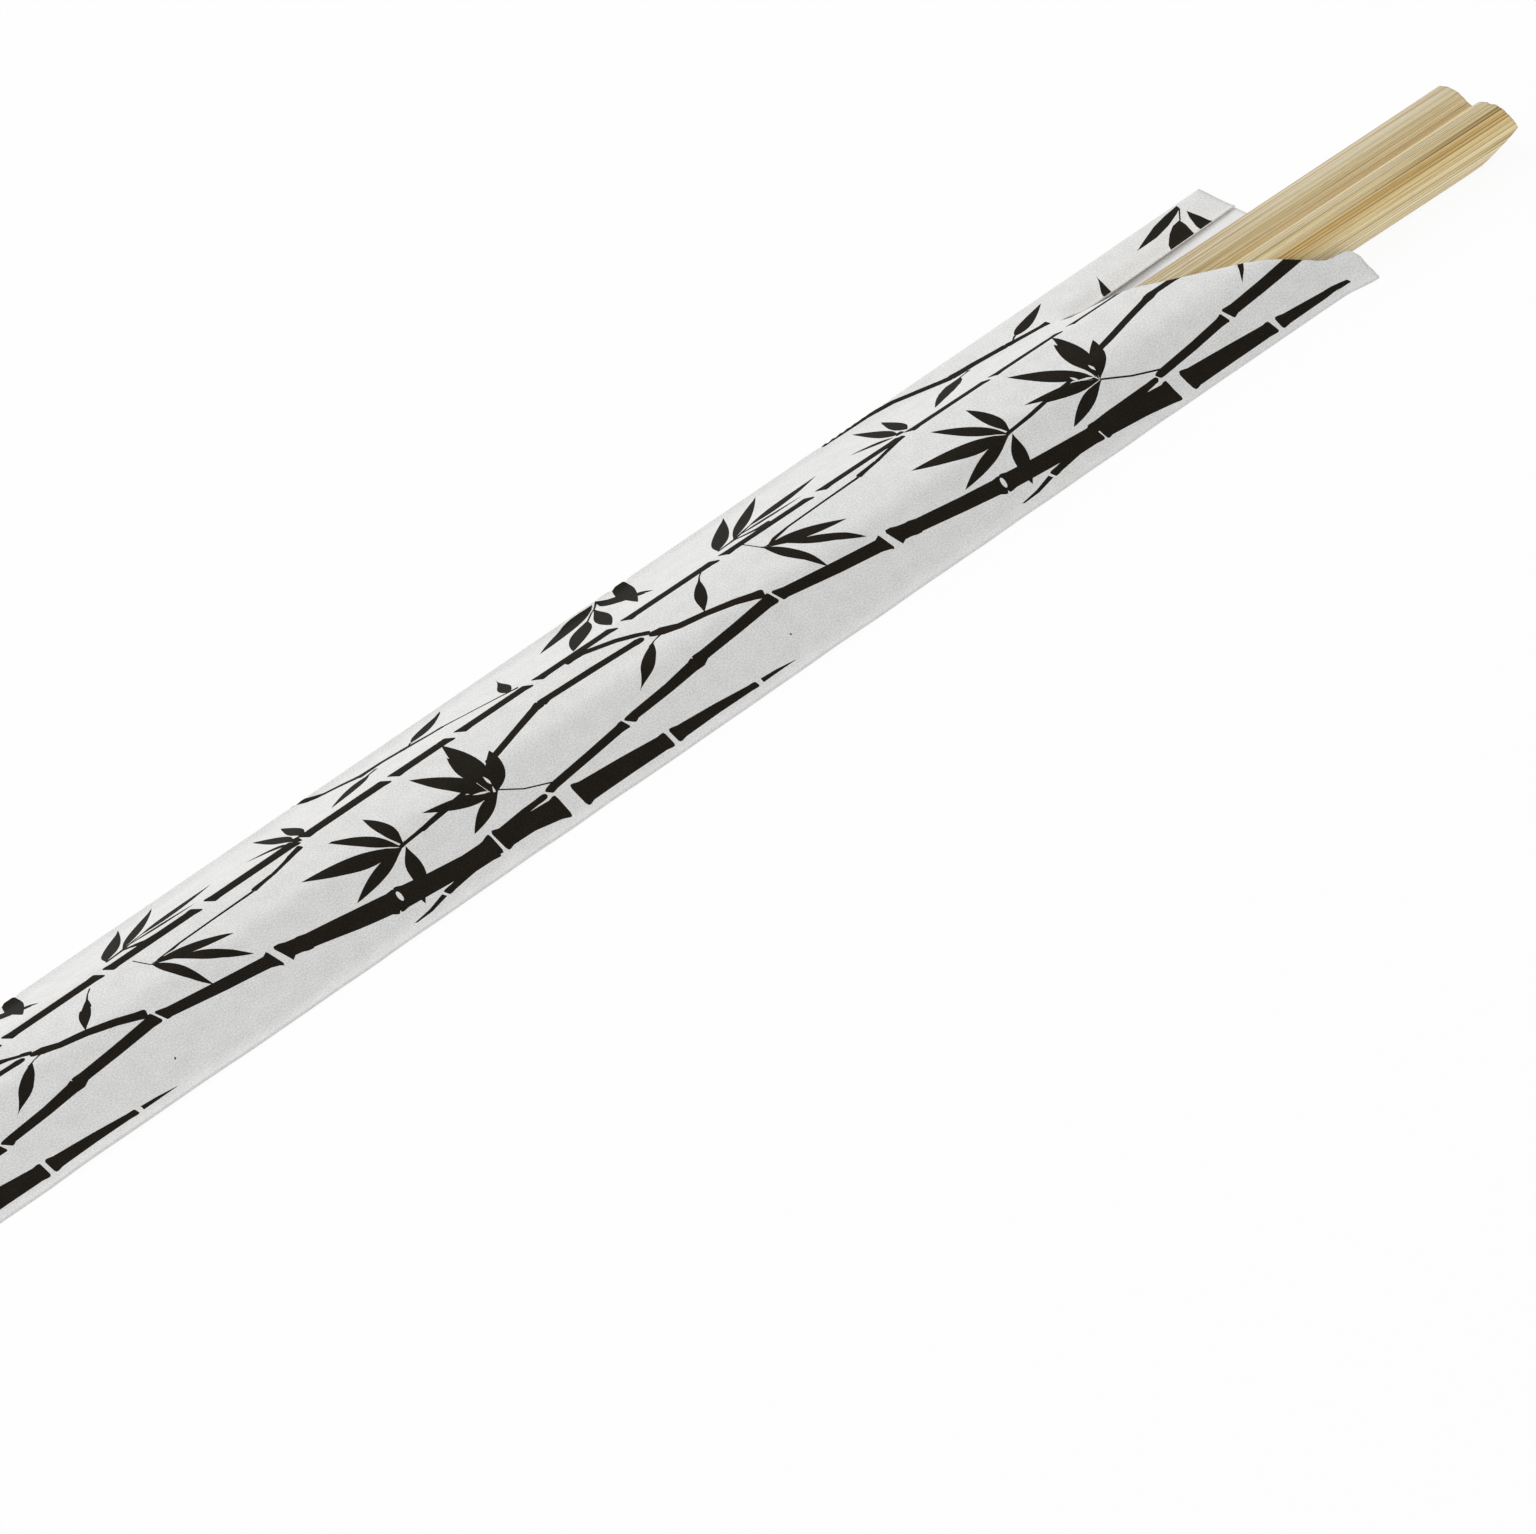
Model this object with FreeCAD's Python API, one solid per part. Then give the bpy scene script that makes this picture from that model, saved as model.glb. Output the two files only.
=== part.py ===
import FreeCAD, Part
import math
import os

# A pair of bamboo chopsticks in its printed paper sleeve, lying flat. All lengths are in millimetres.
# +X runs along the sleeve from its closed tail to the bare head of the sticks, +Y points to the long
# side with the wide margin, +Z is up, and the origin is the middle of the whole outline on the table.
# While the shapes are built, x = 0 is the mouth of the sleeve and y = 0 its centre line.

# Both sticks, still joined at the head
STICK_LENGTH = 210.0
HEAD_WIDTH = 10.0
TIP_WIDTH = 9.0
HEAD_THICKNESS = 4.7
TIP_THICKNESS = 4.2

# The section of one stick, from the groove outwards
GROOVE_HALF_WIDTH = 1.4
GROOVE_DEPTH = 1.5
GROOVE_EDGE_DROP = 0.3
RIDGE_INSET = 1.2
RIDGE_DROP = 0.15
RIDGE_EASE = 0.22
BEVEL_INSET = 0.5
BEVEL_HEIGHT = 1.6
FOOT_CHAMFER = 0.4
UNDER_GROOVE_HALF_WIDTH = 1.0
UNDER_GROOVE_DEPTH = 0.7

# The saw cut that parts the sticks, from the tips up to the web at the head
SLIT_WIDTH = 0.5
WEB_LENGTH = 50.0

# The head end, cut a little askew and bevelled below
HEAD_CUT_ANGLE = 8.5
NOSE_HEIGHT = 1.8
NOSE_LEAN = 0.24
NOSE_BEVEL_LENGTH = 7.7
NOSE_BEVEL_BULGE = 0.2
TIP_BEVEL = 1.2

# How the pair lies in the sleeve
PROTRUSION = 23.2
SKEW_ANGLE = 1.49
MOUTH_OFFSET = -3.35

# The sleeve, which reaches past the tips by a slope and a sealed hem
SLEEVE_WIDTH = 25.0
TAIL_SLOPE = 9.2
TAIL_SEAL = 4.0
SLEEVE_LENGTH = STICK_LENGTH - PROTRUSION + TAIL_SLOPE + TAIL_SEAL
PAPER = 0.12
MARGIN_GAP = 0.1
DRAPE_CLEARANCE = 0.08
CROWN = 0.15
FAR_MARGIN = 1.0
NEAR_MARGIN = 1.0
TAIL_CROWN = 0.2
RIDGE_BEND = 0.9
FOOT_BEND = 2.0
CROWN_BEND = 12.0
LAP_WIDTH = 8.0
LAP_OFFSET = -4.0

# The thumb notch in the front of the mouth, and the strip that it leaves beside the far fold
STRIP_WIDTH_MOUTH = 5.2
STRIP_WIDTH_END = 6.2
STRIP_LIFT = 1.3
SLOT_WIDTH = 1.7
NOTCH_DEPTH = 24.6
SHOULDER_DEPTH = 3.4
NEAR_TAB = 3.0
NOTCH_BULGE = 1.1
TAUT_RUN = 25.0

# Overlap past a face, so that a cut goes clean through
OVERSHOOT = 1.0


def rounded_wire(corners, radii, x):
    """A closed wire in the plane at x: straight runs between (y, z) corners, each with its own radius."""
    places = [FreeCAD.Vector(x, y, z) for y, z in corners]
    count = len(places)
    bends = []
    for index, place in enumerate(places):
        if radii[index] == 0.0:
            bends.append([place])
            continue
        before = places[index - 1] - place
        after = places[(index + 1) % count] - place
        half_angle = before.getAngle(after) / 2.0
        reach = radii[index] / math.tan(half_angle)
        reach = min(reach, 0.45 * min(before.Length, after.Length))
        before.normalize()
        after.normalize()
        bisector = before + after
        bisector.normalize()
        radius = reach * math.tan(half_angle)
        middle = place + bisector * (radius / math.sin(half_angle) - radius)
        bends.append([place + before * reach, middle, place + after * reach])
    edges = []
    for index, bend in enumerate(bends):
        if len(bend) == 3:
            edges.append(Part.Arc(*bend).toShape())
        edges.append(Part.LineSegment(bend[-1], bends[(index + 1) % count][0]).toShape())
    return Part.Wire(edges)


def inset(corners, distance):
    """The same outline, counter-clockwise, with every side moved inwards by the distance."""
    count = len(corners)
    sides = []
    for index in range(count):
        y1, z1 = corners[index]
        y2, z2 = corners[(index + 1) % count]
        length = math.hypot(y2 - y1, z2 - z1)
        normal = ((z1 - z2) / length, (y2 - y1) / length)
        sides.append((normal, normal[0] * y1 + normal[1] * z1 + distance))
    moved = []
    for index in range(count):
        (a1, b1), c1 = sides[index - 1]
        (a2, b2), c2 = sides[index]
        cross = a1 * b2 - a2 * b1
        moved.append(((c1 * b2 - c2 * b1) / cross, (a1 * c2 - a2 * c1) / cross))
    return moved


def stick_share(x):
    """0 at the head of the sticks and 1 at their tips, for a place x along the sleeve."""
    return (PROTRUSION - x) / STICK_LENGTH


def pair_size(x):
    share = stick_share(x)
    width = HEAD_WIDTH + share * (TIP_WIDTH - HEAD_WIDTH)
    thickness = HEAD_THICKNESS + share * (TIP_THICKNESS - HEAD_THICKNESS)
    return width, thickness


def pair_centre(x):
    """Where the groove between the sticks crosses the sleeve, at x."""
    return MOUTH_OFFSET - x * math.tan(math.radians(SKEW_ANGLE))


def pair_wire(x):
    """The outline of both sticks together: two crowned tops with a V groove between, above and below."""
    width, thickness = pair_size(x)
    side = width / 2.0
    ridge = side - RIDGE_INSET
    half = [
        (UNDER_GROOVE_HALF_WIDTH, 0.0),
        (side - FOOT_CHAMFER, 0.0),
        (side, FOOT_CHAMFER),
        (side - BEVEL_INSET, thickness - BEVEL_HEIGHT),
        (ridge + RIDGE_EASE / 2.0, thickness - RIDGE_DROP - RIDGE_EASE),
        (ridge - RIDGE_EASE, thickness - RIDGE_DROP + RIDGE_EASE / 4.0),
        ((ridge + GROOVE_HALF_WIDTH) / 2.0, thickness),
        (GROOVE_HALF_WIDTH, thickness - GROOVE_EDGE_DROP),
    ]
    radii = [0.0, 0.0, 0.0, HEAD_THICKNESS, 0.0, 0.0, HEAD_THICKNESS, 0.0]
    groove_foot = [(0.0, thickness - GROOVE_DEPTH)]
    under_groove_foot = [(0.0, UNDER_GROOVE_DEPTH)]
    mirrored = [(-y, z) for y, z in reversed(half)]
    corners = half + groove_foot + mirrored + under_groove_foot
    return rounded_wire(corners, radii + [0.0] + radii[::-1] + [0.0], x)


def side_slab(outline):
    """A slab wider than both sticks, from a wire drawn in the plane y = 0."""
    reach = 2.0 * HEAD_WIDTH
    slab = Part.Face(outline).extrude(FreeCAD.Vector(0, reach, 0))
    slab.translate(FreeCAD.Vector(0, -reach / 2.0, 0))
    return slab


def head_waste():
    """What the cut at the head takes away: the end leans out to a nose, and the underside is bevelled."""
    beyond = PROTRUSION + HEAD_WIDTH
    roof = HEAD_THICKNESS + OVERSHOOT
    lean = NOSE_LEAN * (roof - NOSE_HEIGHT)
    nose = FreeCAD.Vector(PROTRUSION, 0, NOSE_HEIGHT)
    heel = FreeCAD.Vector(PROTRUSION - NOSE_BEVEL_LENGTH, 0, 0)
    bulge = FreeCAD.Vector(0, 0, -NOSE_BEVEL_BULGE)
    rest = [
        nose,
        FreeCAD.Vector(PROTRUSION - lean, 0, roof),
        FreeCAD.Vector(beyond, 0, roof),
        FreeCAD.Vector(beyond, 0, -OVERSHOOT),
        FreeCAD.Vector(heel.x, 0, -OVERSHOOT),
        heel,
    ]
    edges = [Part.Arc(heel, (heel + nose) * 0.5 + bulge, nose).toShape()]
    edges += Part.makePolygon(rest).Edges
    waste = side_slab(Part.Wire(edges))
    waste.rotate(FreeCAD.Vector(PROTRUSION, 0, 0), FreeCAD.Vector(0, 0, 1), HEAD_CUT_ANGLE)
    return waste


def tip_slab():
    """Keeps what lies ahead of the tips, whose upper and lower edges are eased."""
    tip_x = PROTRUSION - STICK_LENGTH
    ahead = PROTRUSION + HEAD_WIDTH
    eased = tip_x + TIP_BEVEL
    roof = HEAD_THICKNESS + OVERSHOOT
    corners = [
        FreeCAD.Vector(tip_x, 0, TIP_BEVEL),
        FreeCAD.Vector(eased, 0, 0),
        FreeCAD.Vector(eased, 0, -OVERSHOOT),
        FreeCAD.Vector(ahead, 0, -OVERSHOOT),
        FreeCAD.Vector(ahead, 0, roof),
        FreeCAD.Vector(eased, 0, roof),
        FreeCAD.Vector(eased, 0, TIP_THICKNESS),
        FreeCAD.Vector(tip_x, 0, TIP_THICKNESS - TIP_BEVEL),
    ]
    return side_slab(Part.makePolygon(corners + corners[:1]))


def slit():
    """The saw cut between the sticks, open at the tips."""
    length = STICK_LENGTH - WEB_LENGTH + OVERSHOOT
    start = PROTRUSION - STICK_LENGTH - OVERSHOOT
    height = HEAD_THICKNESS + 2.0 * OVERSHOOT
    corner = FreeCAD.Vector(start, -SLIT_WIDTH / 2.0, -OVERSHOOT)
    return Part.makeBox(length, SLIT_WIDTH, height, corner)


def chopstick_pair():
    """Both sticks as one piece of bamboo, laid askew on the lap seam inside the sleeve."""
    ends = [pair_wire(PROTRUSION - STICK_LENGTH), pair_wire(PROTRUSION + OVERSHOOT)]
    blank = Part.makeLoft(ends, True, True)
    pair = blank.common(tip_slab()).cut(head_waste()).cut(slit())
    pair.rotate(FreeCAD.Vector(0, 0, 0), FreeCAD.Vector(0, 0, 1), -SKEW_ANGLE)
    pair.translate(FreeCAD.Vector(0, MOUTH_OFFSET, stick_floor()))
    return pair


def stick_floor():
    """The back panel and the lap seam glued on it carry the sticks."""
    return 2.0 * PAPER


def flat_height():
    """The height of the margins, where the front panel lies just over the back panel."""
    return 2.0 * PAPER + MARGIN_GAP


def far_strip(x):
    """Width and lift of the margin beside the far fold: the notch frees it, and further in it is taut."""
    share = min(max(-x / NOTCH_DEPTH, 0.0), 1.0)
    width = STRIP_WIDTH_MOUTH + share * (STRIP_WIDTH_END - STRIP_WIDTH_MOUTH)
    taut = min(max((-x - NOTCH_DEPTH) / TAUT_RUN, 0.0), 1.0)
    return width + taut * (FAR_MARGIN - width), STRIP_LIFT * (share - taut)


def sleeve_corners(x, tented):
    """The outer outline of the sleeve at x: a flat back, and a front that is tented over the sticks."""
    width, thickness = pair_size(x)
    half = SLEEVE_WIDTH / 2.0
    centre = pair_centre(x)
    ridge = width / 2.0 - RIDGE_INSET
    low = flat_height()
    ridge_top = stick_floor() + thickness + DRAPE_CLEARANCE + PAPER
    crown = CROWN
    far_width, far_lift = far_strip(x)
    if not tented:
        ridge_top = low + TAIL_CROWN / 2.0
        crown = TAIL_CROWN / 2.0
    fold = low / 2.0
    return [
        (fold - half, 0.0),
        (half - fold, 0.0),
        (half, fold),
        (half - fold, low),
        (half - far_width, low + far_lift),
        (centre + ridge, ridge_top),
        (centre, ridge_top + crown),
        (centre - ridge, ridge_top),
        (NEAR_MARGIN - half, low),
        (fold - half, low),
        (-half, fold),
    ]


def sleeve_loft(stations, thickness):
    """The sleeve's outer form, or with a thickness the space inside, through (x, tented) stations."""
    bends = [FOOT_BEND, RIDGE_BEND, CROWN_BEND, RIDGE_BEND, FOOT_BEND]
    changes = [thickness, -thickness, -thickness, -thickness, thickness]
    moved = [bend + change for bend, change in zip(bends, changes)]
    radii = [0.0] * 4 + moved + [0.0] * 2
    wires = []
    for x, tented in stations:
        wires.append(rounded_wire(inset(sleeve_corners(x, tented), thickness), radii, x))
    return Part.makeLoft(wires, True, True)


def lap_seam():
    """The inner flap of the back seam, glued along the floor under the sticks."""
    corner = FreeCAD.Vector(-SLEEVE_LENGTH, LAP_OFFSET - LAP_WIDTH / 2.0, PAPER / 2.0)
    return Part.makeBox(SLEEVE_LENGTH, LAP_WIDTH, stick_floor() - PAPER / 2.0, corner)


def notch():
    """The notch cut out of the front panel only: a slot along the far strip, then a shallow arc."""
    half = SLEEVE_WIDTH / 2.0
    level = PAPER + MARGIN_GAP / 2.0
    shoulder = FreeCAD.Vector(-SHOULDER_DEPTH, NEAR_TAB - half, level)
    far_mouth = FreeCAD.Vector(OVERSHOOT, half - STRIP_WIDTH_MOUTH, level)
    far_end = FreeCAD.Vector(-NOTCH_DEPTH, half - STRIP_WIDTH_END, level)
    slot_end = far_end - FreeCAD.Vector(0, SLOT_WIDTH, 0)
    chord = shoulder - slot_end
    sideways = FreeCAD.Vector(chord.y, -chord.x, 0.0)
    sideways.normalize()
    middle = (shoulder + slot_end) * 0.5 + sideways * NOTCH_BULGE
    near_mouth = FreeCAD.Vector(OVERSHOOT, shoulder.y, level)
    edges = [
        Part.LineSegment(far_mouth, far_end).toShape(),
        Part.LineSegment(far_end, slot_end).toShape(),
        Part.Arc(slot_end, middle, shoulder).toShape(),
        Part.LineSegment(shoulder, near_mouth).toShape(),
        Part.LineSegment(near_mouth, far_mouth).toShape(),
    ]
    above = FreeCAD.Vector(0, 0, 2.0 * HEAD_THICKNESS)
    return Part.Face(Part.Wire(edges)).extrude(above)


def paper_sleeve():
    """One folded sheet: a flattened tube, sealed at the tail, with a notch at the mouth."""
    tips = PROTRUSION - STICK_LENGTH
    seal = TAIL_SEAL - SLEEVE_LENGTH
    drawn = [(-NOTCH_DEPTH, True), (-NOTCH_DEPTH - TAUT_RUN, True), (tips, True), (seal, False)]
    outside = sleeve_loft([(0.0, True)] + drawn + [(-SLEEVE_LENGTH, False)], 0.0)
    inside = sleeve_loft([(OVERSHOOT, True)] + drawn, PAPER)
    return outside.cut(inside.cut(lap_seam())).cut(notch())


pieces = {"paper_sleeve": paper_sleeve(), "chopstick_pair": chopstick_pair()}

# The origin goes to the middle of the whole outline on the table
box = Part.Compound(list(pieces.values())).optimalBoundingBox(True, False)
to_origin = FreeCAD.Vector(-box.Center.x, -box.Center.y, -box.ZMin)

os.makedirs("parts", exist_ok=True)
for name, shape in pieces.items():
    solid = shape.removeSplitter()
    solid.translate(to_origin)
    solid.exportStep(f"parts/{name}.step")
    print(name, len(solid.Solids), round(solid.Volume, 2), solid.isValid(), solid.BoundBox)
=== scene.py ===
import math

import bmesh
import bpy
import numpy as np
from mathutils import Matrix, Vector
from mathutils.geometry import delaunay_2d_cdt


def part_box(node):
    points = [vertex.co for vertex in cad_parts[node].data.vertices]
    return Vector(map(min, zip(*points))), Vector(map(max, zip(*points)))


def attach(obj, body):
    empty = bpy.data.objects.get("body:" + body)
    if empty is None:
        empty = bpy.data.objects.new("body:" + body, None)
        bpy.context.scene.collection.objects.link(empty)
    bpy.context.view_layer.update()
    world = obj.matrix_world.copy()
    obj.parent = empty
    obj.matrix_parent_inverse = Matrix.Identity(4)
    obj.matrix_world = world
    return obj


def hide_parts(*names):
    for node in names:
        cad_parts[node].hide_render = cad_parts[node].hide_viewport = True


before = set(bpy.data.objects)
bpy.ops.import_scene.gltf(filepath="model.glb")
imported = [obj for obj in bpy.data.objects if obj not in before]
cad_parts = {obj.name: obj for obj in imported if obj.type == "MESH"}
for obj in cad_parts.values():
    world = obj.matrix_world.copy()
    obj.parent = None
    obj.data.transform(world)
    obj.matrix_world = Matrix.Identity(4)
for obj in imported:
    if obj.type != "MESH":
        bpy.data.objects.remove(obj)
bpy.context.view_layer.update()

# Lengths are in millimetres until a mesh is made. The sleeve runs along x from its tail at -200 to
# its mouth at 0, y = 0 is its centre line and z = 0 the table.
MM = 0.001
MM_PER_UV = 10.0
MOUTH_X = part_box("paper_sleeve")[1].x

# The sticks and the sleeve, as the solids have them
STICK_LENGTH = 210.0
HEAD_WIDTH, TIP_WIDTH = 10.0, 9.0
HEAD_THICKNESS, TIP_THICKNESS = 4.7, 4.2
GROOVE_HALF_WIDTH, GROOVE_DEPTH, GROOVE_EDGE_DROP = 1.4, 1.5, 0.3
RIDGE_INSET, RIDGE_DROP, RIDGE_EASE = 1.2, 0.15, 0.22
BEVEL_INSET, BEVEL_HEIGHT, FOOT_CHAMFER = 0.5, 1.6, 0.4
UNDER_GROOVE_HALF_WIDTH, UNDER_GROOVE_DEPTH = 1.0, 0.7
SLIT_WIDTH, WEB_LENGTH = 0.5, 50.0
HEAD_CUT_ANGLE, NOSE_HEIGHT, NOSE_LEAN = 8.5, 1.8, 0.24
NOSE_BEVEL_LENGTH, NOSE_BEVEL_BULGE = 7.7, 0.2
TIP_BEVEL = 1.2
PROTRUSION, SKEW_ANGLE, MOUTH_OFFSET = 23.2, 1.49, -3.35
SLEEVE_WIDTH, SLEEVE_LENGTH, TAIL_SEAL = 25.0, 200.0, 4.0
PAPER, MARGIN_GAP, DRAPE_CLEARANCE, CROWN, TAIL_CROWN = 0.12, 0.1, 0.08, 0.15, 0.2
FAR_MARGIN, NEAR_MARGIN = 1.0, 1.0
LAP_NEAR, LAP_FAR = -8.0, 0.0
STRIP_WIDTH_MOUTH, STRIP_WIDTH_END, STRIP_LIFT = 5.2, 6.2, 1.3
SLOT_WIDTH, NOTCH_DEPTH, SHOULDER_DEPTH, NEAR_TAB, NOTCH_BULGE = 1.7, 24.6, 3.4, 3.0, 1.1
TAUT_RUN = 25.0

# What only this script has: bends softer than the solids', and a rounded corner on the near tab
RIDGE_BEND, FOOT_BEND, CROWN_BEND = 4.0, 2.8, 30.0
TAB_ROUNDING = 1.2

HALF = SLEEVE_WIDTH / 2.0
LOW = 2.0 * PAPER + MARGIN_GAP
STICK_FLOOR = 2.0 * PAPER
FOLD = LOW / 2.0
TIPS_X = PROTRUSION - STICK_LENGTH
SKEW = math.radians(SKEW_ANGLE)

# The unrolled sheet has the same x and, across, t: 0 at the far fold, FRONT at the near fold, and on
# round the back to the two edges of the glued lap
FRONT = 28.0
LAP_EDGE_UNDER = -(HALF - LAP_NEAR)
LAP_EDGE_OVER = FRONT + HALF + LAP_FAR


def smooth(value, low, high):
    """0 below low, 1 above high and an even turn between."""
    share = np.clip((np.asarray(value, float) - low) / (high - low), 0.0, 1.0)
    return share * share * (3.0 - 2.0 * share)


class Waves:
    """Soft seeded unevenness over a plane: a sum of sine waves of about one wavelength each."""

    def __init__(self, seed, wavelength, stretch=1.0, count=14):
        random = np.random.RandomState(seed)
        angle = random.uniform(0.0, math.pi, count)
        number = 2.0 * math.pi / (wavelength * random.uniform(0.7, 1.5, count))
        self.kx = number * np.cos(angle) / stretch
        self.ky = number * np.sin(angle)
        self.phase = random.uniform(0.0, 2.0 * math.pi, count)
        self.scale = 1.0 / math.sqrt(count / 2.0)

    def __call__(self, x, y):
        x, y = np.asarray(x, float)[..., None], np.asarray(y, float)[..., None]
        return np.sin(x * self.kx + y * self.ky + self.phase).sum(-1) * self.scale


def running_length(points):
    """How far each point lies along the line through all of them."""
    return np.concatenate([[0.0], np.cumsum(np.linalg.norm(np.diff(points, axis=0), axis=1))])


def pair_size(x):
    """Width and thickness of the pair at x."""
    share = (PROTRUSION - x) / STICK_LENGTH
    width = HEAD_WIDTH + share * (TIP_WIDTH - HEAD_WIDTH)
    return width, HEAD_THICKNESS + share * (TIP_THICKNESS - HEAD_THICKNESS)


def front_corners(x, tented):
    """Corners of the front panel at x, from the far fold to the near fold."""
    width, thickness = pair_size(x)
    centre = MOUTH_OFFSET - x * math.tan(SKEW)
    ridge = width / 2.0 - RIDGE_INSET
    top, crown = STICK_FLOOR + thickness + DRAPE_CLEARANCE + PAPER, CROWN
    share = min(max(-x / NOTCH_DEPTH, 0.0), 1.0)
    taut = min(max((-x - NOTCH_DEPTH) / TAUT_RUN, 0.0), 1.0)
    margin = STRIP_WIDTH_MOUTH + share * (STRIP_WIDTH_END - STRIP_WIDTH_MOUTH)
    margin += taut * (FAR_MARGIN - margin)
    if not tented:
        top, crown = LOW + TAIL_CROWN / 2.0, TAIL_CROWN / 2.0
    return np.array([
        (HALF - FOLD, LOW),
        (HALF - margin, LOW + STRIP_LIFT * (share - taut)),
        (centre + ridge, top),
        (centre, top + crown),
        (centre - ridge, top),
        (NEAR_MARGIN - HALF, LOW),
        (FOLD - HALF, LOW),
    ])


LONG_SIDE_SHARE, SHORT_SIDE_SHARE, SHORT_SIDE = 0.48, 0.9, 1.0


def side_share(length):
    return SHORT_SIDE_SHARE if length < SHORT_SIDE else LONG_SIDE_SHARE


def bend_points(before, place, after, radius, steps=6):
    """Points on the curve that rounds a corner, which takes up most of a short side and half a long one."""
    to_before, to_after = before - place, after - place
    length_before, length_after = np.linalg.norm(to_before), np.linalg.norm(to_after)
    to_before, to_after = to_before / length_before, to_after / length_after
    half_angle = math.acos(np.clip(to_before @ to_after, -1.0, 1.0)) / 2.0
    reach = min(radius / math.tan(half_angle), LONG_SIDE_SHARE * max(length_before, length_after))
    start = place + to_before * min(reach, side_share(length_before) * length_before)
    end = place + to_after * min(reach, side_share(length_after) * length_after)
    share = np.linspace(0.0, 1.0, steps)[:, None]
    return (1 - share) ** 2 * start + 2 * share * (1 - share) * place + share ** 2 * end


# Places in the list of a section's points: the middle of each fold, and the front from fold to fold
FAR_MIDDLE, NEAR_MIDDLE = 4, -7
ON_FRONT = slice(7, -9)


def section(x):
    """(t, y, z) along the outer face of the sheet at x, from the under edge of the lap to the upper."""
    seal = TAIL_SEAL - SLEEVE_LENGTH
    if x >= TIPS_X:
        corners = front_corners(x, True)
    else:
        share = min((TIPS_X - x) / (TIPS_X - seal), 1.0)
        ends = front_corners(TIPS_X, True), front_corners(seal, False)
        corners = ends[0] + share * (ends[1] - ends[0])
    angles = np.radians(np.linspace(-90.0, 90.0, 7))
    far_fold = np.stack([HALF - FOLD + FOLD * np.cos(angles), FOLD + FOLD * np.sin(angles)], 1)
    near_fold = far_fold[::-1] * (-1.0, 1.0)
    bends = FOOT_BEND, RIDGE_BEND, CROWN_BEND, RIDGE_BEND, FOOT_BEND
    front = np.concatenate([bend_points(*corners[k:k + 3], bend) for k, bend in enumerate(bends)])
    under = np.array([(LAP_NEAR, 0.0)])
    over = np.array([(LAP_NEAR - 0.5, 0.0), (LAP_NEAR + 0.1, PAPER), (LAP_FAR, PAPER)])
    points = np.concatenate([under, far_fold, front, near_fold, over])
    run = running_length(points)
    far_middle, near_middle = run[FAR_MIDDLE], run[NEAR_MIDDLE]
    t = (run - far_middle) * FRONT / (near_middle - far_middle)
    t[:FAR_MIDDLE] = run[:FAR_MIDDLE] - far_middle
    t[NEAR_MIDDLE + 1:] = FRONT + run[NEAR_MIDDLE + 1:] - near_middle
    t[0], t[-1] = LAP_EDGE_UNDER, LAP_EDGE_OVER
    return t, points, near_middle - far_middle


STATIONS = np.concatenate([np.arange(-SLEEVE_LENGTH, -26.0, 1.0), np.arange(-26.0, 0.01, 0.5)])
SECTIONS = [section(x) for x in STATIONS]


def on_sheet(x, t):
    """(y, z) of the outer face for arrays of places on the unrolled sheet."""
    x, t = np.asarray(x, float), np.asarray(t, float)
    cell = np.clip(np.searchsorted(STATIONS, x, side="right") - 1, 0, len(STATIONS) - 2)
    share = (x - STATIONS[cell]) / (STATIONS[cell + 1] - STATIONS[cell])
    result = np.zeros((len(x), 2))
    for index in np.unique(cell):
        here = cell == index
        for station, weight in ((index, 1.0 - share[here]), (index + 1, share[here])):
            ts, points, _ = SECTIONS[station]
            for axis in (0, 1):
                result[here, axis] += weight * np.interp(t[here], ts, points[:, axis])
    return result


def front_width(x):
    """How far the front reaches from fold to fold at x, measured along the sheet."""
    return np.interp(x, STATIONS, [s[2] for s in SECTIONS])


def t_at(x, y):
    """t of the front panel's place above (x, y)."""
    ts, points, _ = section(x)
    return float(np.interp(-y, -points[ON_FRONT, 0], ts[ON_FRONT]))


# How far a step in y or in z goes across the sleeve when it is seen from where the print is laid out
SEEN_Y, SEEN_Z = 6.78, 7.70

# The free edge of the strip beside the notch
STRIP_X = np.linspace(-NOTCH_DEPTH, 0.0, 12)
STRIP_T = [t_at(x, front_corners(x, True)[1][0]) for x in STRIP_X]


# The print: bamboo stalks and leaves as plain filled outlines. Each is given as x along the
# sleeve and v, the distance from the far fold, both in millimetres on a front with sharp bends.
LEAF_TAPER_BASE, LEAF_TAPER_TIP = 1.5, 0.9


def leaf(base, tip, width, bow=0.0, belly=0.42):
    """A pointed leaf from base to tip. bow bends its midrib sideways, belly is where it is widest."""
    base, tip = np.array(base, float), np.array(tip, float)
    along = tip - base
    side = np.array([-along[1], along[0]]) / np.linalg.norm(along)
    power = math.log(0.5) / math.log(belly)
    share = np.linspace(0.0, 1.0, 14)
    middle = base + share[:, None] * along + np.outer(4.0 * bow * share * (1.0 - share), side)
    taper = np.where(share < belly, LEAF_TAPER_BASE, LEAF_TAPER_TIP)
    half = 0.5 * width * np.clip(np.sin(math.pi * share ** power), 0.0, 1.0) ** taper
    aside = half[:, None] * side
    return np.concatenate([middle + aside, (middle - aside)[-2:0:-1]])


def freehand(corners):
    """A closed outline through corners, with its sharp places kept."""
    return np.array(corners, float)


# A long stalk flares at both ends: its width there over its own, by the distance from the end
STALK_INK_SPREAD = 1.12
STALK_FLARE = {0.0: 0.8, 0.12: 1.12, 0.4: 1.14, 1.0: 1.0}
FLARED_FROM_LENGTH, FLARED_FROM_WIDTH = 2.5, 0.3


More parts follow.
